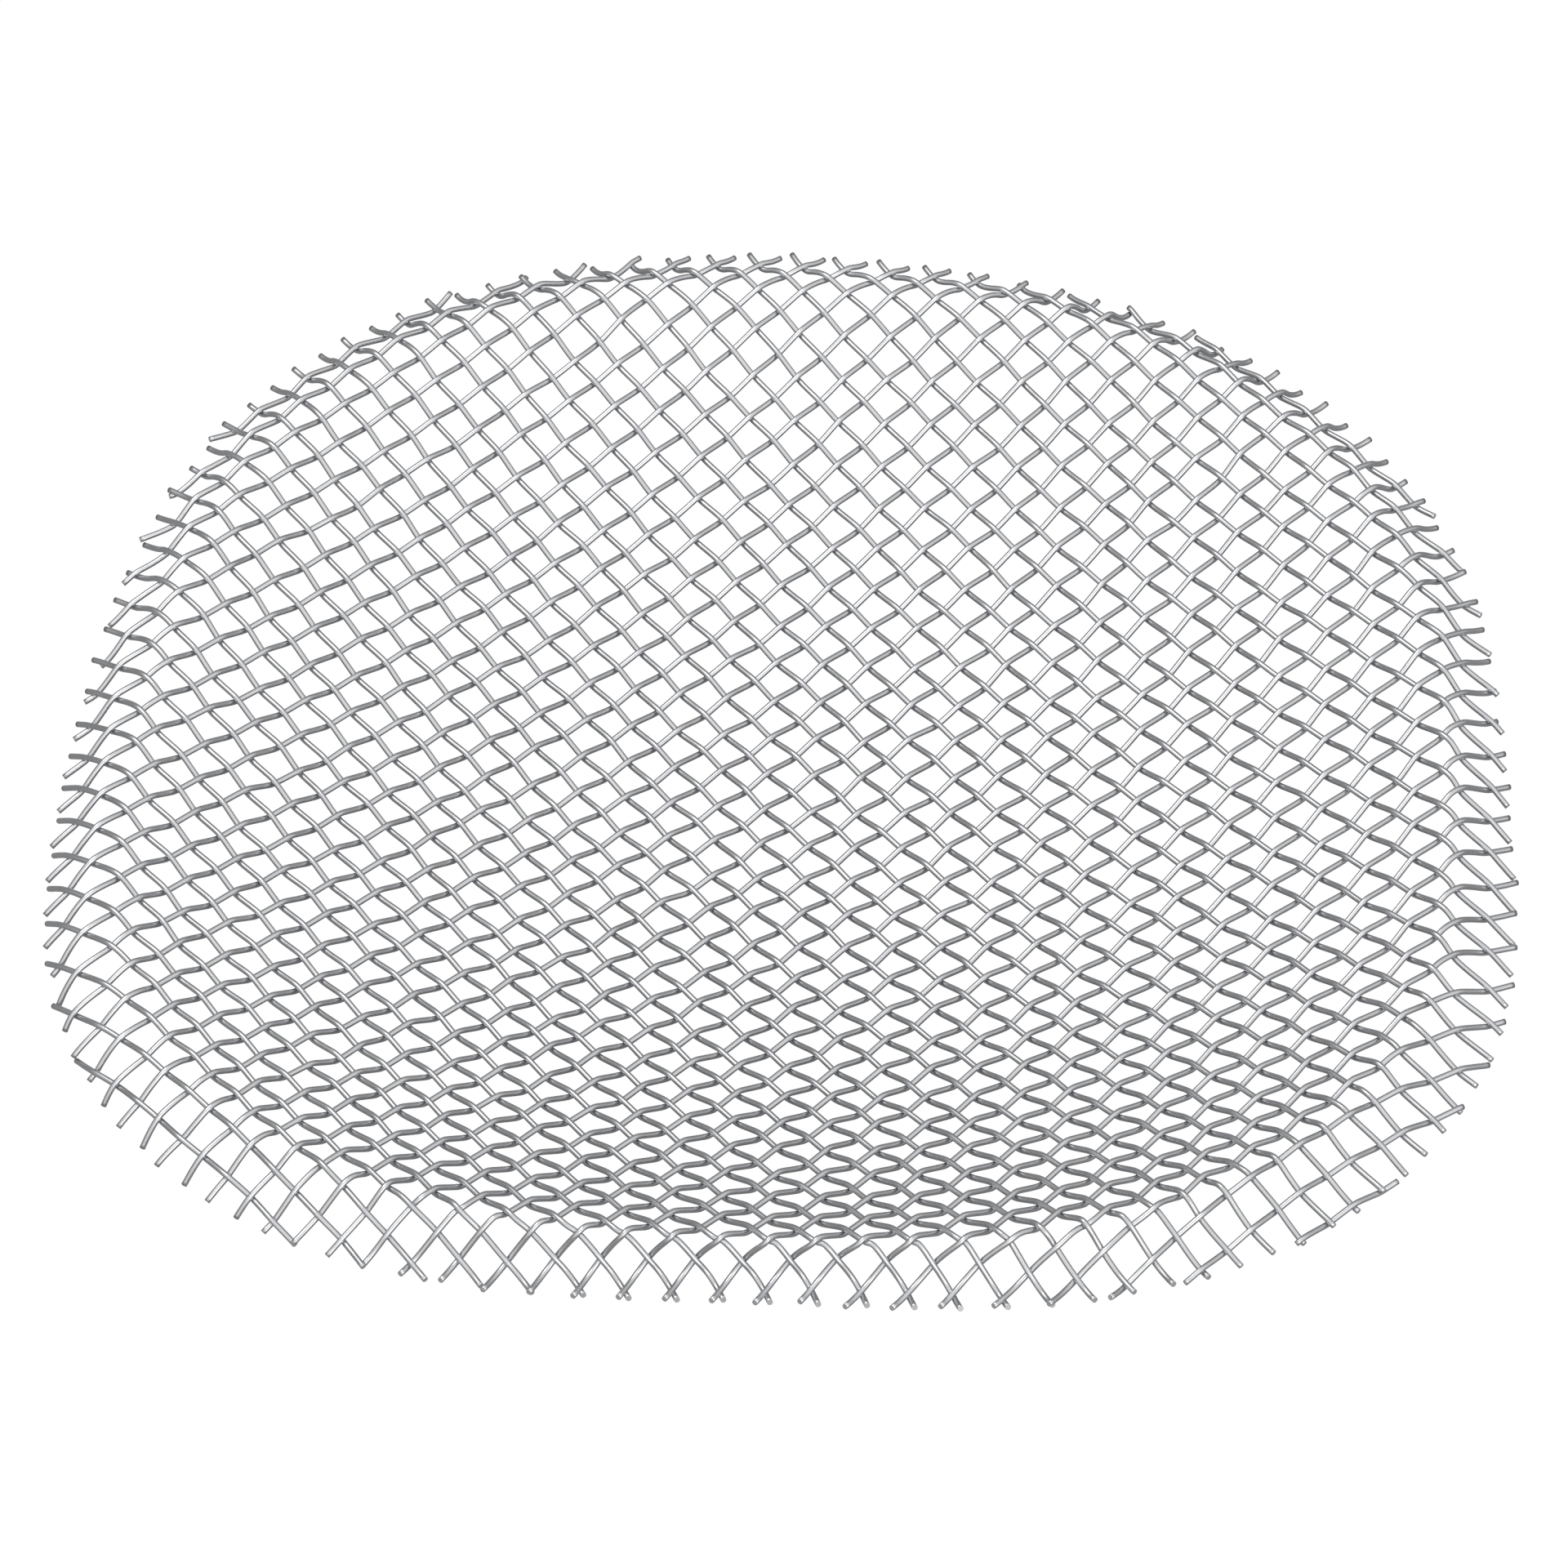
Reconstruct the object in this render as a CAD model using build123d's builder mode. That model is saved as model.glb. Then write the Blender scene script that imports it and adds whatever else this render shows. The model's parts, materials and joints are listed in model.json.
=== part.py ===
from build123d import *
import math
import os

# Burner mesh: plain-woven wire cloth pressed into a shallow dish whose rim is folded out and down into a
# short skirt. Sizes are in millimetres. +Z is up, out of the hollow side. Warp wires run along X and weft
# wires along Y. The origin is the lowest point, on the dish's axis.

# The cloth, as woven and cut flat
pitch = 3.175
wire_diameter = 0.56
skirt_width = 6.0

# The dish, measured along the cloth from its middle to the fold
dish_radius = 152.0
fold_reach = 66.6
fold_wave = 3.3
face_stretch = 0.013
rim_sag = 0.7
rim_sag_wave = 0.6

# The skirt beyond the fold
skirt_angle = math.radians(23.8)
skirt_angle_wave = math.radians(9.7)
skirt_stretch = 0.21

# A round wire is drawn with four flat sides and the same section area
wire_side = wire_diameter * math.sqrt(math.pi) / 2
half_pitch = pitch / 2

# A weft wire's centre lies this far above or below the warp wires, so that its slope clears their sides
seat_gap = 0.08
weft_slope = math.atan(2 * wire_diameter / pitch)
weft_rise = wire_side / 2 * (1 + 1 / math.cos(weft_slope) + math.tan(weft_slope)) + seat_gap

# Within two pitches of the fold, where the wires turn sharply, it stands off by up to this much more
fold_rise = 0.38
fold_zone = 2 * pitch

# A warp wire is straight between bends as long as it stays this near its true curve
bend_tolerance = 0.4

# The cut end of a wire is found by halving a span that holds it this many times
halvings = 40


def fold_at(turn):
    """Distance along the cloth to the fold. The cloth draws in between its wires and not along them."""
    return fold_reach + fold_wave * math.cos(4 * turn)


def pressed(x, y):
    """Where the press puts the point x, y of the flat cloth."""
    turn = math.atan2(y, x)
    fourfold = math.cos(4 * turn)
    fold = fold_at(turn)
    reach = math.hypot(x, y)
    face = min(reach, fold)
    share = face / fold_reach
    bend = face * (1 + face_stretch * share**2) / dish_radius
    out = dish_radius * math.sin(bend)
    up = dish_radius * (1 - math.cos(bend)) - (rim_sag + rim_sag_wave * fourfold) * share**4
    fall = skirt_angle + skirt_angle_wave * fourfold
    skirt = (reach - face) * (1 + skirt_stretch)
    out += skirt * math.cos(fall)
    up -= skirt * math.sin(fall)
    return Vector(out * math.cos(turn), out * math.sin(turn), up)


def facing(x, y):
    """Unit vector square to the pitch of pressed cloth round a point, out of its hollow side."""
    along_x = pressed(x + half_pitch, y) - pressed(x - half_pitch, y)
    along_y = pressed(x, y + half_pitch) - pressed(x, y - half_pitch)
    return along_x.cross(along_y).normalized()


def tilt_of(number):
    """Sideways slope of the pitch of pressed cloth under the middle of this wire."""
    side = pressed(number * pitch + half_pitch, 0) - pressed(number * pitch - half_pitch, 0)
    return math.atan2(side.Z, side.X)


def cut_end(offset):
    """How far a wire at this offset from the middle runs before the cut edge, or 0 where no wire lies."""
    near = 0
    far = 2 * fold_reach
    for _ in range(halvings):
        middle = (near + far) / 2
        if math.hypot(middle, offset) < fold_at(math.atan2(offset, middle)) + skirt_width:
            near = middle
        else:
            far = middle
    return near


def keep_bends(points, first, last):
    """Crossings from first to last at which a wire must bend to stay near its true curve."""
    chord = points[last] - points[first]
    worst = first
    distance = bend_tolerance
    for crossing in range(first + 1, last):
        gap = (points[crossing] - points[first]).cross(chord).length / chord.length
        if gap > distance:
            worst = crossing
            distance = gap
    if worst == first:
        return [first, last]
    return keep_bends(points, first, worst)[:-1] + keep_bends(points, worst, last)


def add_ends(points, spare):
    """The wire's points with the first and last run carried on past the last crossing to the cut."""
    start = points[0] + (points[0] - points[1]).normalized() * spare
    end = points[-1] + (points[-1] - points[-2]).normalized() * spare
    return [start, *points[1:-1], end]


def crossings_of(number):
    """Last crossing, and the length left over past it, of the wire this many pitches from the middle."""
    reach = cut_end(number * pitch)
    last = math.floor(reach / pitch)
    return last, reach - last * pitch


def warp_crossings(number):
    """Centre of a warp wire at each weft wire: straight runs from its middle out, by the bends it needs."""
    last, _ = crossings_of(number)
    points = {crossing: pressed(crossing * pitch, number * pitch) for crossing in range(-last, last + 1)}
    bends = [*keep_bends(points, -last, 0), *keep_bends(points, 0, last)[1:]]
    for start, end in zip(bends, bends[1:]):
        for crossing in range(start + 1, end):
            share = (crossing - start) / (end - start)
            points[crossing] = points[start] + (points[end] - points[start]) * share
    return points, bends


def rise_at(x, y):
    """How far a weft wire's centre stands off a warp wire's where they cross."""
    from_fold = abs(math.hypot(x, y) - fold_at(math.atan2(y, x)))
    return weft_rise + fold_rise * max(0, 1 - from_fold / fold_zone)


def weft_points(number, warps):
    """Centre of a weft wire, which passes over every second warp wire and under the ones between."""
    last, _ = crossings_of(number)
    x = number * pitch
    points = []
    for crossing in range(-last, last + 1):
        y = crossing * pitch
        side = 1 if (number + crossing) % 2 else -1
        points.append(warps[crossing][number] + facing(x, y) * side * rise_at(x, y))
    return points


# The wires furthest out are the last that still cross two others inside the cut edge
pairs = math.floor((fold_at(0) + skirt_width) / pitch)
while crossings_of(pairs)[0] < 1:
    pairs -= 1

numbers = range(-pairs, pairs + 1)
warps = {}
warp_lines = {}
for number in numbers:
    warps[number], bends = warp_crossings(number)
    warp_lines[number] = add_ends([warps[number][bend] for bend in bends], crossings_of(number)[1])
weft_lines = {number: add_ends(weft_points(number, warps), crossings_of(number)[1]) for number in numbers}

# The lowest wire touches the plane Z = 0
lowest = min(point.Z for line in weft_lines.values() for point in line)
up = Vector(0, 0, 1)
lift = up * (wire_side / 2 - lowest)


def build_wires(name, lines, across, members):
    """One node: the wires at the same distance on both sides of the middle, or the middle one alone."""
    with BuildPart() as wires:
        for number in members:
            points = [point + lift for point in lines[number]]
            start = (points[1] - points[0]).normalized()
            upright = (up - start * up.dot(start)).normalized()
            flat_side = across * math.cos(tilt_of(number)) + upright * math.sin(tilt_of(number))
            with BuildLine():
                Polyline(*points)
            with BuildSketch(Plane(origin=points[0], x_dir=flat_side, z_dir=start)):
                Rectangle(wire_side, wire_side)
            sweep(transition=Transition.RIGHT)
    wires.part.label = name
    export_step(wires.part, f"parts/{name}.step")


os.makedirs("parts", exist_ok=True)
for family, lines, across in (("warp", warp_lines, Vector(0, 1, 0)), ("weft", weft_lines, Vector(1, 0, 0))):
    build_wires(f"{family}_wire_centre", lines, across, [0])
    for pair in range(1, pairs + 1):
        build_wires(f"{family}_wires_{pair:02d}", lines, across, [-pair, pair])
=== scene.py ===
# %% [markdown]
# Burner mesh. A gas radiant heater glows through a dish of woven steel wire. The real thing is one piece of
# plain-woven wire cloth, pressed in a die, folded over at the rim and sheared off. Here every wire is built as
# a tube that follows the same path: over and under its neighbours, down the dish, round the fold, to a cut end.

import json
import math

import bpy
import numpy as np
from mathutils import Matrix, Vector
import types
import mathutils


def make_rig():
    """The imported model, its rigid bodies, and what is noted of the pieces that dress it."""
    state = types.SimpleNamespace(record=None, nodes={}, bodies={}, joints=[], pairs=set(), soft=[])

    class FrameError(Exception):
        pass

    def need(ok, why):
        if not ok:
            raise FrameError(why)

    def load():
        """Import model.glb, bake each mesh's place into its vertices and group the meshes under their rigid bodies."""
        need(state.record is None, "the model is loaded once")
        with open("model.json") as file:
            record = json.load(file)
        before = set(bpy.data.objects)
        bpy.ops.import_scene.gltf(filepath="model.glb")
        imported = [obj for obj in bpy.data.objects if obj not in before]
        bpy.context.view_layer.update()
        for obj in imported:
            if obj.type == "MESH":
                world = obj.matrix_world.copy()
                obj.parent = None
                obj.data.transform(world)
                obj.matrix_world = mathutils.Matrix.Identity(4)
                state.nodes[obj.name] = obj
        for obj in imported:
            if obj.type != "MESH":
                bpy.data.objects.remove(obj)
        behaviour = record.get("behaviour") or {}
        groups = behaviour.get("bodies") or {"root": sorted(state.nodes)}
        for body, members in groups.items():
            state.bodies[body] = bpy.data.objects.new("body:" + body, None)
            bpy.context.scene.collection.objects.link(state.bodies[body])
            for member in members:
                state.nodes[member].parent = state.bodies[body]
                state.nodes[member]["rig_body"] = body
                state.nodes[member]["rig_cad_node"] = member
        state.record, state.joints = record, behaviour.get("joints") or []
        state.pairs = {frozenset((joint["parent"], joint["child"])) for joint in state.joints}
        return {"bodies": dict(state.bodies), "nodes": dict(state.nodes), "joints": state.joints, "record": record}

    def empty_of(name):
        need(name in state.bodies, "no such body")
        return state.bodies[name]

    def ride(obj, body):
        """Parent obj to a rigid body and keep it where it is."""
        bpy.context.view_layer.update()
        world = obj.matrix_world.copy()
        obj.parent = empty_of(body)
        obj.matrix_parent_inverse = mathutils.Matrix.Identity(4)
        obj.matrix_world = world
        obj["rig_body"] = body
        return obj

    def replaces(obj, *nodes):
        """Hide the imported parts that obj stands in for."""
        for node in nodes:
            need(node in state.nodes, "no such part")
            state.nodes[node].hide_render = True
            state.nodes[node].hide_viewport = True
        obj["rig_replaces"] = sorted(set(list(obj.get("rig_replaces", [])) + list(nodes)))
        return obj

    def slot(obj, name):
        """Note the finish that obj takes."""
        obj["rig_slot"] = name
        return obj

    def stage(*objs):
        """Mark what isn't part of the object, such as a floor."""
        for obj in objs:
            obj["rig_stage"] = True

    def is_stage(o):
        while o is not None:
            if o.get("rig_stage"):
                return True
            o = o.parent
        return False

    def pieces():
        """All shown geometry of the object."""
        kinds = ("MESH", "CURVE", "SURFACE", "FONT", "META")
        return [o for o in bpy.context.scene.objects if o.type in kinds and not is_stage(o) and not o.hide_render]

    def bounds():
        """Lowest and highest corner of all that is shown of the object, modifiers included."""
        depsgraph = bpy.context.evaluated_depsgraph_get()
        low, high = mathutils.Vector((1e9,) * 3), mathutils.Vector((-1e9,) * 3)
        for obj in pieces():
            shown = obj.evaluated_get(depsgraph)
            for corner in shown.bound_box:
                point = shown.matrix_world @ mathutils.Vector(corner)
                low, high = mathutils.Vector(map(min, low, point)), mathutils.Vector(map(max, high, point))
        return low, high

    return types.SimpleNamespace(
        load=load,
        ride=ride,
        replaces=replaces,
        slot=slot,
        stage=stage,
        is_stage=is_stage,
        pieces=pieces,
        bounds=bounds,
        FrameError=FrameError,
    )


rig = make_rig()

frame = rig.load()
cad_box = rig.bounds()
print("CAD nodes", len(frame["nodes"]), "box in metres", cad_box)

# %% [markdown]
# The cloth is 8-mesh: eight wires to the inch, so one pitch is 3.175 mm, woven from wire of 0.56 mm. All later
# sizes are in millimetres and become metres only where a mesh or a lamp is made. The cloth didn't lie quite
# centred in the die, so the wires sit a fraction of a pitch off the dish's axis. Wires are numbered from the
# middle outwards. The cut edge may reach number 24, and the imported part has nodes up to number 23.

# %% Sizes of the cloth
MM = 0.001
PITCH = 3.175
WIRE = 0.56
WEFT_SHIFT = 0.152 * PITCH
WARP_SHIFT = -0.238 * PITCH
OUTER_WIRE = 24
LAST_NODE = 23
print("open share of the cloth", round((1 - WIRE / PITCH) ** 2, 3))

# %% [markdown]
# Pressing turns the flat cloth into a dish. Cloth can't stretch along its wires but it can shear between them,
# so the fold draws in on the four diagonals and stays out along the wires. Each size of the dish is therefore
# a plain value and a set of waves round the rim: the fourth is the cloth's own, and the first three are the
# way this one was bent in handling. Waves are the simplest shape that closes on itself round a rim.

# %% Waves round the rim
def wave(waves, turn):
    """Sum of the cosine and sine waves around the dish, by how many times each repeats."""
    return sum(c * np.cos(n * turn) + s * np.sin(n * turn) for n, (c, s) in waves.items())


print("a four-fold wave at 0 and 45 degrees", wave({4: (1, 0)}, np.radians([0, 45])).round(3))

# %% [markdown]
# The dish is part of a sphere up to the fold. The rim sags a little below the sphere, growing with the fourth
# power of the distance, so that the middle stays round. Past the fold the die drives the cloth down into a
# skirt and lets it ease out again towards the cut. The fold isn't a sharp line, because wire can't bend round
# a corner: it is spread over a softness in millimetres.

# %% Sizes of the dish and the skirt
# The dish, and the way along the cloth from its middle to the fold
DISH_RADIUS = 152.3
FOLD_REACH = 66.9
FOLD_WAVES = {4: (2.7, -0.25), 1: (-0.78, 1.63), 2: (-0.07, -0.75), 3: (1.33, 1.17)}
FACE_STRETCH = 0.0139
FACE_STRETCH_WAVES = {4: (-0.0047, 0)}

# How far the rim stands above the sphere at this way along the cloth
WAVE_REACH = 63.5
RIM_LIFT = -0.46
RIM_WAVES = {4: (-0.7, 0), 1: (0.13, -0.01), 2: (0.49, -0.79), 3: (-0.15, -0.4)}

# The skirt's slope just past the fold, and how much it eases over the skirt's depth, in radians
SKIRT_DEPTH = 6.0
SKIRT_ANGLE = 0.79
SKIRT_WAVES = {4: (-0.27, 0), 1: (0.02, 0.29), 2: (-0.01, -0.6), 3: (-0.02, -0.05)}
EASING = 0.16
EASING_WAVES = {4: (-0.17, 0), 1: (0.24, 0.38), 2: (0.06, -0.57)}

# The skirt's cloth is pulled longer, in full from this far past the fold
STRETCH_DEPTH = SKIRT_DEPTH / 2
SKIRT_STRETCH = 0.2
STRETCH_WAVES = {4: (-0.11, 0), 1: (0.16, -0.04), 2: (0, 0.18)}

# The fold's softness, which handling has made uneven, and the sharpest that wire can take
FOLD_SOFTNESS = 0.78
SOFTNESS_WAVES = {1: (-0.75, 0.5), 2: (-0.16, -0.35)}
SHARPEST_FOLD = 0.4

# At the dish's middle the cloth's own middle is this far above the floor: the weft's crimp and half a wire
SURFACE_HEIGHT = 0.62
print("fold lies", FOLD_REACH, "mm along the cloth, skirt slopes", round(math.degrees(SKIRT_ANGLE)), "degrees")

# %% [markdown]
# One formula gives the pressed place of any point of the flat cloth, so all the wires lie on the same surface,
# which wires bent one by one would never do. The skirt's slope changes along it, so its run and drop are
# summed in a few steps. The second function says which way the surface faces, for the crimp to stand off.

# %% The pressed surface
SKIRT_STEPS = 5
FACING_STEP = 0.4


def pressed(x, y):
    """Millimetres in the flat cloth to millimetres in the pressed dish, for arrays."""
    turn = np.arctan2(y, x)
    reach = np.hypot(x, y)
    fold = FOLD_REACH + wave(FOLD_WAVES, turn)
    softness = np.maximum(SHARPEST_FOLD, FOLD_SOFTNESS + wave(SOFTNESS_WAVES, turn))
    past = softness * np.logaddexp(0, (reach - fold) / softness)
    face = reach - past
    share = face / WAVE_REACH
    bend = face * (1 + (FACE_STRETCH + wave(FACE_STRETCH_WAVES, turn)) * share**2) / DISH_RADIUS
    rim = RIM_LIFT + wave(RIM_WAVES, turn)
    out = DISH_RADIUS * np.sin(bend)
    up = DISH_RADIUS * (1 - np.cos(bend)) + rim * share**4
    angle = SKIRT_ANGLE + wave(SKIRT_WAVES, turn)
    easing = EASING + wave(EASING_WAVES, turn)
    stretch = SKIRT_STRETCH + wave(STRETCH_WAVES, turn)
    for step in range(SKIRT_STEPS):
        at = past * (step + 0.5) / SKIRT_STEPS
        run = past / SKIRT_STEPS * (1 + stretch * np.minimum(1, at / STRETCH_DEPTH))
        fall = angle - easing * at / SKIRT_DEPTH
        out = out + run * np.cos(fall)
        up = up - run * np.sin(fall)
    return np.stack([out * np.cos(turn), out * np.sin(turn), up + SURFACE_HEIGHT], -1)


def facing(x, y):
    """Unit vectors square to the pressed cloth, out of its hollow side."""
    along_x = pressed(x + FACING_STEP, y) - pressed(x - FACING_STEP, y)
    along_y = pressed(x, y + FACING_STEP) - pressed(x, y - FACING_STEP)
    normal = np.cross(along_x, along_y)
    return normal / np.linalg.norm(normal, axis=-1, keepdims=True)


print("height of the fold", pressed(np.array([FOLD_REACH]), np.array([0.0]))[0, 2].round(2), "mm")

# %% [markdown]
# In plain weave each wire passes over one neighbour and under the next, and this waviness is its crimp. Both
# families share it, but not equally: on the loom the warp is kept tight, so the weft does more of it. Where
# two wires cross, their crimps together keep their middles one wire apart. Between crossings a wire is nearly
# straight and its bends are short, so the wave is a triangle with rounded peaks and not a sine.

# %% Crimp of the weave
WEFT_CRIMP = 0.109 * PITCH
WARP_CRIMP = 0.078 * PITCH
WEFT_PEAK = 0.955
WARP_PEAK = 0.9


def zigzag(phase, peak):
    """A wave of period 2 and height 1 with straight flanks and rounded peaks, sharper as peak nears 1."""
    return np.arcsin(peak * np.cos(np.pi * phase)) / np.arcsin(peak)


print("wires' middles at a crossing", round(WEFT_CRIMP + WARP_CRIMP, 3), "mm apart, wire", WIRE, "mm")

# %% [markdown]
# No loom beats every wire home alike, so each wire wanders a little sideways. Three slow waves of chance size
# do this without a kink. One seeded source of chance serves the whole script, so each run gives the same cloth.

# %% Sideways wander
SWAY = 0.022 * PITCH
SWAY_PERIODS = (5, 9, 17)
luck = np.random.default_rng(8)


def sway(length):
    """Sideways wander at each of these distances along a wire."""
    waves = luck.normal(size=len(SWAY_PERIODS)) * SWAY
    phases = luck.uniform(0, 2 * np.pi, len(SWAY_PERIODS))
    periods = PITCH * np.array(SWAY_PERIODS)
    return sum(w * np.sin(2 * np.pi * length / p + f) for w, f, p in zip(waves, phases, periods))


print("wander repeats over", SWAY_PERIODS, "pitches")

# %% [markdown]
# After pressing, shears cut the skirt along a line that follows the fold unevenly. A wire ends where it meets
# that line, a hair earlier or later. It is found by walking along the wire in small steps, which is slower than
# solving for it but can't go wrong on an uneven line.

# %% Cut ends
SKIRT_CUT = 5.5
CUT_WAVES = {4: (1.02, 0), 1: (0.6, -1.34), 2: (0.07, 0.86), 3: (-0.13, -0.17)}
CUT_SPREAD = 0.04 * PITCH
SHORTEST_WIRE = 2 * PITCH
WALK_REACH = 90
WALK_STEP = 0.05


def fold_and_skirt(x, y):
    """Distance from the middle to the fold, and from the fold to the cut, at the angle of this point."""
    turn = np.arctan2(y, x)
    return FOLD_REACH + wave(FOLD_WAVES, turn), SKIRT_CUT + wave(CUT_WAVES, turn)


def wire_reach(offset, warp):
    """Distance along the wire at this offset to both its cut ends, or None where it would be too short."""
    along = np.arange(-WALK_REACH, WALK_REACH, WALK_STEP)
    x, y = (along, offset + 0 * along) if warp else (offset + 0 * along, along)
    inside = along[np.hypot(x, y) < sum(fold_and_skirt(x, y))]
    if len(inside) < SHORTEST_WIRE / WALK_STEP:
        return None
    spread = luck.uniform(-1, 1, 2) * CUT_SPREAD
    return inside[0] + spread[0], inside[-1] + spread[1]


unevenness = sum(math.hypot(*sizes) for sizes in CUT_WAVES.values())
print("skirt", SKIRT_CUT, "mm along the cloth, at most", round(unevenness, 1), "more or less")

# %% [markdown]
# Now each wire gets its centre line: the pressed surface, plus the crimp square to it. The die flattens the
# crimp a little on the skirt. The shears lift the last millimetres of wire, more on some sides than on others,
# and never push them down.

# %% Centre lines of the wires
STEPS_PER_PITCH = 10
SKIRT_CRIMP = 0.92
FADE_START = 0.6
FADE = 0.8
CURL = 0.63
CURL_WAVES = {4: (-0.36, 0), 1: (-0.27, -0.07), 2: (0.06, -0.83), 3: (-0.46, -0.59)}
CURL_WIDTH = 2.2


def wire_line(family, number):
    """Centre line and upward vectors of one wire, or None where the cloth doesn't reach."""
    warp = family == "warp"
    offset = number * PITCH + (WARP_SHIFT if warp else WEFT_SHIFT)
    reach = wire_reach(offset, warp)
    if reach is None:
        return None
    along = np.linspace(*reach, int((reach[1] - reach[0]) / PITCH * STEPS_PER_PITCH) + 1)
    wander = sway(along)
    phase = (along - (WEFT_SHIFT if warp else WARP_SHIFT)) / PITCH + number
    x, y = (along, offset + wander) if warp else (offset + wander, along)
    crimp = WARP_CRIMP * zigzag(phase, WARP_PEAK) if warp else -WEFT_CRIMP * zigzag(phase, WEFT_PEAK)
    up = facing(x, y)
    fold, skirt = fold_and_skirt(x, y)
    past = np.hypot(x, y) - fold
    kept = 1 - (1 - SKIRT_CRIMP) / (1 + np.exp((FADE_START - past) / FADE))
    curl = np.maximum(0, CURL + wave(CURL_WAVES, np.arctan2(y, x)))
    lift = curl * np.maximum(0, 1 - (skirt - past) / CURL_WIDTH) ** 2
    return pressed(x, y) + up * (crimp * kept + lift)[:, None], up


centre_lines = {}
for family in ("warp", "weft"):
    for number in range(-OUTER_WIRE, OUTER_WIRE + 1):
        line = wire_line(family, number)
        if line is not None:
            centre_lines[family, number] = line
print("wires", len(centre_lines), "of which warp", sum(family == "warp" for family, _ in centre_lines))

# %% [markdown]
# A wire is a tube with flat sheared ends. The rings could come from a bevelled curve, but a curve twists where
# the wire turns over the fold, and the drawing lines would twist with it. So the rings are laid one by one: each
# stands square to the wire and keeps its first point towards the hollow side.

# %% Rings round a wire
WIRE_SIDES = 12


def wire_rings(points, up):
    """Points of the rings round one wire, a ring at each point of its centre line."""
    run = np.gradient(points, axis=0)
    run /= np.linalg.norm(run, axis=1, keepdims=True)
    side = np.cross(up, run)
    side /= np.linalg.norm(side, axis=1, keepdims=True)
    top = np.cross(run, side)
    angle = np.arange(WIRE_SIDES) * 2 * np.pi / WIRE_SIDES
    ring = side[:, None] * np.sin(angle)[:, None] + top[:, None] * np.cos(angle)[:, None]
    return points[:, None] + ring * WIRE / 2


print("a ring has", WIRE_SIDES, "points", round(math.pi * WIRE / WIRE_SIDES, 3), "mm apart")

# %% [markdown]
# The rings become a mesh: four-sided faces along the wire, smooth shaded so that it looks round, and a flat
# face on each end with a material of its own. The UV map holds millimetres along the wire and round it, for
# the drawing lines.

# %% Mesh of a node's wires
def wire_piece(name, members):
    """One mesh object for the wires of a node, with a UV map in millimetres."""
    vertices, faces, uvs = [], [], []
    start = 0
    for points, up in members:
        rings = wire_rings(points, up)
        count = len(rings)
        length = np.r_[0, np.cumsum(np.linalg.norm(np.diff(points, axis=0), axis=1))]
        vertices.append(rings.reshape(-1, 3))
        for step in range(count - 1):
            for part in range(WIRE_SIDES):
                after = (part + 1) % WIRE_SIDES
                low, high = start + step * WIRE_SIDES, start + (step + 1) * WIRE_SIDES
                faces.append((low + part, low + after, high + after, high + part))
                girth = [WIRE * math.pi * turn / WIRE_SIDES for turn in (part, part + 1, part + 1, part)]
                uvs += list(zip((length[step], length[step], length[step + 1], length[step + 1]), girth))
        for first, order in ((start, -1), (start + (count - 1) * WIRE_SIDES, 1)):
            faces.append(tuple(range(first, first + WIRE_SIDES))[::order])
            uvs += [(0, 0)] * WIRE_SIDES
        start += count * WIRE_SIDES
    mesh = bpy.data.meshes.new(name)
    mesh.from_pydata((np.concatenate(vertices) * MM).tolist(), [], faces)
    mesh.uv_layers.new(name="wire_mm").data.foreach_set("uv", np.array(uvs).ravel())
    mesh.polygons.foreach_set("use_smooth", [len(face) == 4 for face in faces])
    mesh.polygons.foreach_set("material_index", [int(len(face) != 4) for face in faces])
    piece = bpy.data.objects.new(name, mesh)
    bpy.context.scene.collection.objects.link(piece)
    return piece


def numbers_in(pair):
    """Numbers of the wires that one node holds. The last node takes in what lies beyond it."""
    if pair == 0:
        return [0]
    if pair == LAST_NODE:
        return [-OUTER_WIRE, -LAST_NODE, LAST_NODE, OUTER_WIRE]
    return [-pair, pair]


pieces = {}
for family in ("warp", "weft"):
    for pair in range(LAST_NODE + 1):
        numbers = [number for number in numbers_in(pair) if (family, number) in centre_lines]
        node = f"{family}_wires_{pair:02d}" if pair else f"{family}_wire_centre"
        piece = wire_piece(f"{family}_{pair:02d}", [centre_lines[family, number] for number in numbers])
        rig.ride(piece, "root")
        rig.replaces(piece, node)
        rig.slot(piece, "wire")
        pieces[node] = piece
print("pieces", len(pieces), "faces", sum(len(piece.data.polygons) for piece in pieces.values()))

# %% [markdown]
# Materials are built from nodes. Colours are written as sRGB hex values, the way a paint program shows them,
# and Blender counts in linear light, so one function turns the first into the second. Another adds a node with
# its settings and links in one call, which keeps a material readable from top to bottom.

# %% Colour and node helpers
def linear(code):
    """An sRGB hex colour as linear red, green, blue and alpha."""
    parts = [int(code[place : place + 2], 16) / 255 for place in (1, 3, 5)]
    return [part / 12.92 if part <= 0.04045 else ((part + 0.055) / 1.055) ** 2.4 for part in parts] + [1.0]


def add_node(tree, kind, links=None, **settings):
    """Adds one node. Settings name its properties or inputs, and links name inputs and what feeds them."""
    node = tree.nodes.new(kind)
    for name, value in settings.items():
        if hasattr(node, name):
            setattr(node, name, value)
        else:
            node.inputs[name.replace("_", " ")].default_value = value
    for name, source in (links or {}).items():
        socket = node.inputs[name] if isinstance(name, int) else node.inputs[name.replace("_", " ")]
        tree.links.new(source, socket)
    return node


print("middle grey in linear light", round(linear("#808080")[0], 3))

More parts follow.
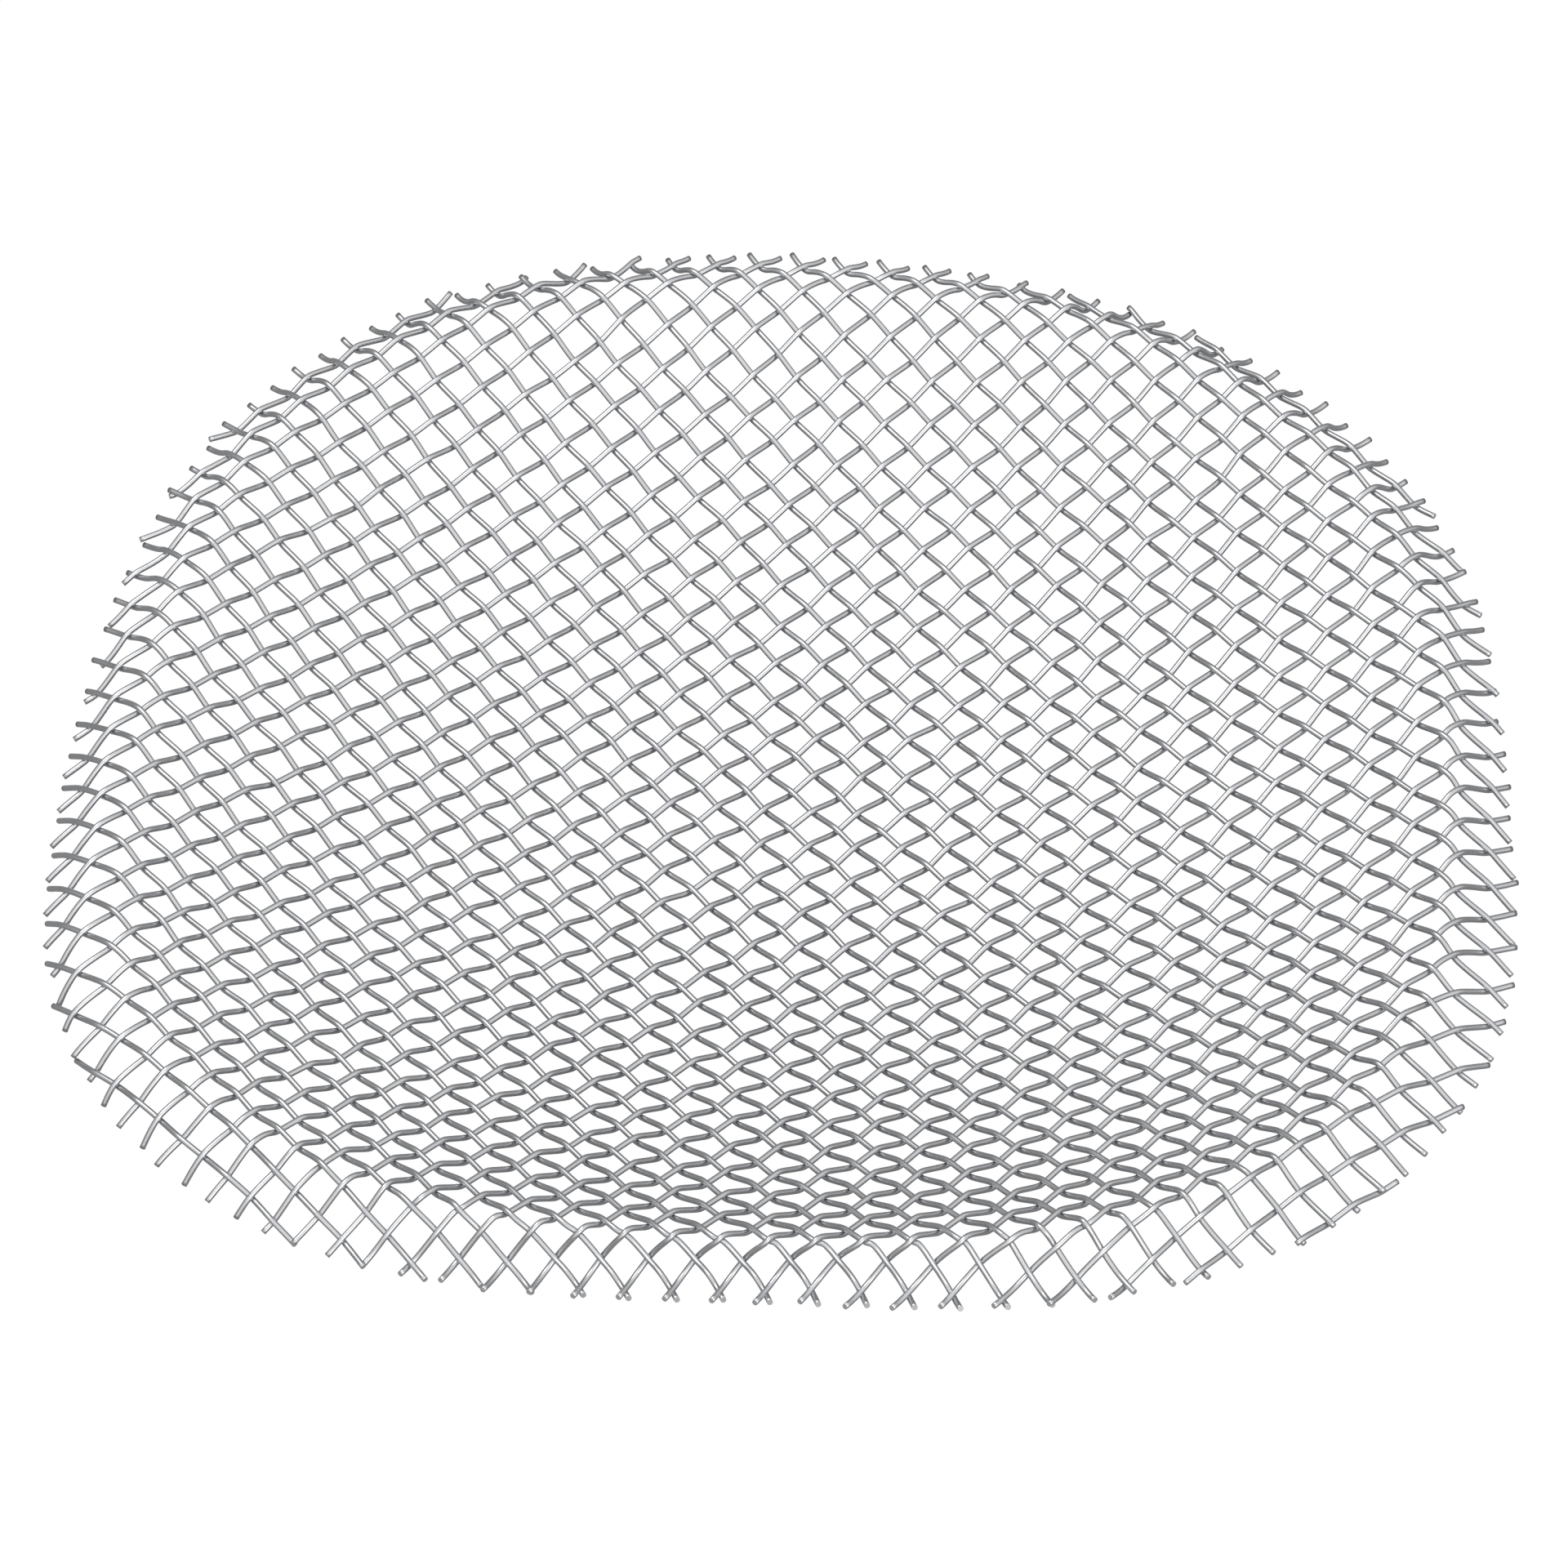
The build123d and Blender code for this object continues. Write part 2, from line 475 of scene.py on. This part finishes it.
# %% [markdown]
# The wire is stainless steel, drawn through dies and left bare. Drawing leaves fine lines along it, which
# spread a highlight across the wire and leave it crisp along it: a satin sheen, bright where it faces a lamp
# and mid grey elsewhere. The lines could be an image, but noise stretched along the UV map needs none and never
# repeats. Handling leaves duller patches, some millimetres wide, so that no two wires shine quite alike.

# %% Drawn stainless steel wire
# Bare stainless steel is a nearly neutral pale grey, and the dull patches are a shade darker and cooler
DRAWN_STEEL = "#D0D1D3"
DRAWN_STEEL_DULL = "#BDBEC1"
DULL_PATCH = 6.0

# Real drawing lines are some hundredths of a millimetre wide. These are coarser, so that they show.
DRAW_LINE = 0.25
DRAW_LINE_LENGTH = 10
DRAW_LINE_DEPTH = 0.01
DRAW_LINE_RELIEF = 0.015

# Satin, not mirror: the lines make the wire this much smoother or rougher than its own roughness
WARP_ROUGHNESS = 0.26
WEFT_ROUGHNESS = 0.28
SMOOTHER = 0.02
ROUGHER = 0.03


def drawn_steel(name, roughness):
    """Satin stainless wire: bright bare steel, fine lines along it, and duller patches."""
    material = bpy.data.materials.new(name)
    material.use_nodes = True
    tree = material.node_tree
    surface = tree.nodes["Principled BSDF"]
    surface.inputs["Metallic"].default_value = 1.0
    place = add_node(tree, "ShaderNodeUVMap", uv_map="wire_mm")
    body = add_node(tree, "ShaderNodeTexCoord")
    line_size = (1 / DRAW_LINE_LENGTH, 1 / DRAW_LINE, 1)
    stretched = add_node(tree, "ShaderNodeMapping", {"Vector": place.outputs["UV"]}, Scale=line_size)
    along_wire = {"Vector": stretched.outputs["Vector"]}
    lines = add_node(tree, "ShaderNodeTexNoise", along_wire, Scale=1.0, Detail=3.0)
    patch_scale = 1 / (DULL_PATCH * MM)
    on_body = {"Vector": body.outputs["Object"]}
    patches = add_node(tree, "ShaderNodeTexNoise", on_body, Scale=patch_scale, Detail=4.0)
    tone = add_node(tree, "ShaderNodeMix", {0: patches.outputs["Fac"]}, data_type="RGBA")
    tone.inputs[6].default_value = linear(DRAWN_STEEL)
    tone.inputs[7].default_value = linear(DRAWN_STEEL_DULL)
    range_of = {"To_Min": roughness - SMOOTHER, "To_Max": roughness + ROUGHER}
    rough = add_node(tree, "ShaderNodeMapRange", {"Value": lines.outputs["Fac"]}, **range_of)
    depth = {"Strength": DRAW_LINE_RELIEF, "Distance": DRAW_LINE_DEPTH * MM}
    relief = add_node(tree, "ShaderNodeBump", {"Height": lines.outputs["Fac"]}, **depth)
    tree.links.new(tone.outputs[2], surface.inputs["Base Color"])
    tree.links.new(rough.outputs["Result"], surface.inputs["Roughness"])
    tree.links.new(relief.outputs["Normal"], surface.inputs["Normal"])
    return material


warp_steel = drawn_steel("drawn_stainless_warp", WARP_ROUGHNESS)
weft_steel = drawn_steel("drawn_stainless_weft", WEFT_ROUGHNESS)
print("drawn steel", warp_steel.name, weft_steel.name)

# %% [markdown]
# A sheared end is freshly broken metal: paler than the drawn skin, grainy and matt. A fine noise on its
# roughness is enough, because a wire's end is only half a millimetre across.

# %% Sheared stainless steel ends
SHEARED_STEEL = "#D6D7D8"
SHEARED_GRAIN = 0.1
SHEARED_SMOOTHEST = 0.35
SHEARED_ROUGHEST = 0.6


def sheared_steel(name):
    """The cut face of a wire: brighter and grainier than the drawn skin."""
    material = bpy.data.materials.new(name)
    material.use_nodes = True
    tree = material.node_tree
    surface = tree.nodes["Principled BSDF"]
    surface.inputs["Metallic"].default_value = 1.0
    surface.inputs["Base Color"].default_value = linear(SHEARED_STEEL)
    body = add_node(tree, "ShaderNodeTexCoord")
    grain_scale = 1 / (SHEARED_GRAIN * MM)
    grain = add_node(tree, "ShaderNodeTexNoise", {"Vector": body.outputs["Object"]}, Scale=grain_scale)
    range_of = {"To_Min": SHEARED_SMOOTHEST, "To_Max": SHEARED_ROUGHEST}
    rough = add_node(tree, "ShaderNodeMapRange", {"Value": grain.outputs["Fac"]}, **range_of)
    tree.links.new(rough.outputs["Result"], surface.inputs["Roughness"])
    return material


cut_steel = sheared_steel("sheared_stainless_end")
for node, piece in pieces.items():
    piece.data.materials.append(warp_steel if node.startswith("warp") else weft_steel)
    piece.data.materials.append(cut_steel)
print("materials", [material.name for material in bpy.data.materials if material.users])

# %% [markdown]
# The dish is photographed on white. More light would whiten the floor but burn out the metal, so the floor is
# white by its colour: to the camera it mostly glows white, with a little of a matt card mixed in that takes a
# faint shadow. To the metal it is the card alone, a mid grey, which gives the wires' undersides their tone.

# %% Floor
FLOOR_SIZE = 3.0
FLOOR_CARD = "#9A9A9A"
FLOOR_WHITE = 1.04
FLOOR_WHITE_SHARE = 0.95


def white_floor():
    """Matt card that looks white to the camera and keeps a soft shadow."""
    material = bpy.data.materials.new("white_card_floor")
    material.use_nodes = True
    tree = material.node_tree
    tree.nodes.clear()
    card = add_node(tree, "ShaderNodeBsdfDiffuse", Color=linear(FLOOR_CARD))
    white = add_node(tree, "ShaderNodeEmission", Color=(1, 1, 1, 1), Strength=FLOOR_WHITE)
    ray = add_node(tree, "ShaderNodeLightPath")
    seen = add_node(tree, "ShaderNodeMath", {0: ray.outputs["Is Camera Ray"]}, operation="MULTIPLY")
    seen.inputs[1].default_value = FLOOR_WHITE_SHARE
    mixed = {0: seen.outputs[0], 1: card.outputs["BSDF"], 2: white.outputs["Emission"]}
    mix = add_node(tree, "ShaderNodeMixShader", mixed)
    add_node(tree, "ShaderNodeOutputMaterial", {"Surface": mix.outputs["Shader"]})
    return material


floor_mesh = bpy.data.meshes.new("floor")
half = FLOOR_SIZE / 2
corners = [(-half, -half, 0), (half, -half, 0), (half, half, 0), (-half, half, 0)]
floor_mesh.from_pydata(corners, [], [(0, 1, 2, 3)])
floor = bpy.data.objects.new("floor", floor_mesh)
bpy.context.scene.collection.objects.link(floor)
floor_mesh.materials.append(white_floor())
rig.stage(floor)
print("floor", FLOOR_SIZE, "m")

# %% [markdown]
# Bare metal shows what stands around it, so the surroundings are as much a part of its look as its material.
# A studio is brightest above and behind the camera and darker beyond the object. The camera itself sees plain
# white. The metal sees a smooth change from dim, on the far left, to bright, above and on the near right. That
# gives each round wire one light side and one dark side, as in the photograph.

# %% Surroundings
# The picture's right lies this far round from the part's X, and its far side is square to that
HEADING = math.radians(48.46)
right = Vector((math.cos(HEADING), math.sin(HEADING), 0))
far = Vector((-math.sin(HEADING), math.cos(HEADING), 0))

# The brightest direction, as parts of near, right and up
SKY_NEAR = 0.68
SKY_RIGHT = 0.18
SKY_UP = 0.71

# How closely a direction agrees with the brightest one where the change starts and ends, and its two levels
SKY_START = -0.3
SKY_FULL = 1.0
SKY_DIM = 0.34
SKY_BRIGHT = 1.2

world = bpy.data.worlds.new("white_surroundings")
bpy.context.scene.world = world
world.use_nodes = True
sky = world.node_tree
background = sky.nodes["Background"]
looking = add_node(sky, "ShaderNodeTexCoord")
toward = add_node(sky, "ShaderNodeVectorMath", {0: looking.outputs["Generated"]}, operation="DOT_PRODUCT")
toward.inputs[1].default_value = (right * SKY_RIGHT - far * SKY_NEAR + Vector((0, 0, SKY_UP))).normalized()
glow = add_node(
    sky,
    "ShaderNodeMapRange",
    {"Value": toward.outputs["Value"]},
    interpolation_type="SMOOTHSTEP",
    From_Min=SKY_START,
    From_Max=SKY_FULL,
    To_Min=SKY_DIM,
    To_Max=SKY_BRIGHT,
)
rays = add_node(sky, "ShaderNodeLightPath")
level = add_node(sky, "ShaderNodeMix", {0: rays.outputs["Is Camera Ray"], 2: glow.outputs["Result"]})
level.inputs[3].default_value = 1.0
background.inputs["Color"].default_value = (1, 1, 1, 1)
sky.links.new(level.outputs[0], background.inputs["Strength"])
print("surroundings from", SKY_DIM, "to", SKY_BRIGHT, "of white")

# %% [markdown]
# The photograph looks down on the dish's hollow side at about 47 degrees with a long lens, so far and near rims
# are almost the same size. The warp wires run from the upper left to the lower right. The camera's place is
# worked out backwards: from the point it aims at, by its distance, against the way it looks.

# %% Camera
LENS_MM = 253.6
SENSOR_MM = 36.0
DISTANCE = 1059.3 * MM
ELEVATION = math.radians(46.67)
ROLL = math.radians(-0.2)
AIM_RIGHT = 0.36 * MM
AIM_UP = -6.96 * MM
CLIP_END = 20

view_up = far * math.sin(ELEVATION) + Vector((0, 0, math.cos(ELEVATION)))
forward = far * math.cos(ELEVATION) - Vector((0, 0, math.sin(ELEVATION)))
rolled_right = right * math.cos(ROLL) - view_up * math.sin(ROLL)
rolled_up = right * math.sin(ROLL) + view_up * math.cos(ROLL)
stand = Vector((0, 0, SURFACE_HEIGHT * MM)) - rolled_right * AIM_RIGHT - rolled_up * AIM_UP - forward * DISTANCE
lens = bpy.data.cameras.new("camera")
lens.lens = LENS_MM
lens.sensor_width = SENSOR_MM
lens.clip_end = CLIP_END
camera = bpy.data.objects.new("camera", lens)
turned = Matrix((rolled_right, rolled_up, -forward)).transposed()
camera.matrix_world = Matrix.Translation(stand) @ turned.to_4x4()
bpy.context.scene.collection.objects.link(camera)
bpy.context.scene.camera = camera
print("camera", [round(v, 3) for v in stand])

# %% [markdown]
# A round wire shows a lamp as a bright line, and only where the wire runs square to the direction halfway
# between the lamp and the camera. A softbox high on the far left therefore whitens the runs of weft that climb
# away from the camera and leaves the warp grey. A weaker one low on the near side lifts the near skirt.

# %% Lamps
# Metres from the dish, as the picture shows it, and sizes and watts
KEY_FAR = 0.17
KEY_LEFT = 0.37
KEY_UP = 0.9
KEY_SIZE = 0.45
KEY_WATTS = 1.9
FILL_NEAR = 0.75
FILL_RIGHT = 0.35
FILL_UP = 0.45
FILL_SIZE = 0.5
FILL_WATTS = 1.1


def softbox(name, place, aim, size, power):
    """A square area lamp at a place, turned to its aim."""
    lamp = bpy.data.lights.new(name, "AREA")
    lamp.size = size
    lamp.energy = power
    holder = bpy.data.objects.new(name, lamp)
    holder.location = place
    holder.rotation_euler = (Vector(aim) - Vector(place)).to_track_quat("-Z", "Y").to_euler()
    bpy.context.scene.collection.objects.link(holder)
    return holder


key_place = far * KEY_FAR - right * KEY_LEFT + Vector((0, 0, KEY_UP))
fill_place = right * FILL_RIGHT - far * FILL_NEAR + Vector((0, 0, FILL_UP))
key = softbox("key_softbox", key_place, (0, 0, 0), KEY_SIZE, KEY_WATTS)
fill = softbox("fill_softbox", fill_place, (0, 0, 0), FILL_SIZE, FILL_WATTS)
bpy.context.scene.view_settings.view_transform = "Standard"
print("lamps", [(lamp.name, round(lamp.data.energy, 1), "W") for lamp in (key, fill)])

# %% [markdown]
# The imported part's box and the visual model's box are kept side by side in extents.json, because Blender gives
# the part its looks and not its size.

# %% Sizes kept for comparison
json.dump({"cad": np.array(cad_box).tolist(), "visual": np.array(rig.bounds()).tolist()}, open("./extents.json", "w"))
print(open("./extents.json").read())
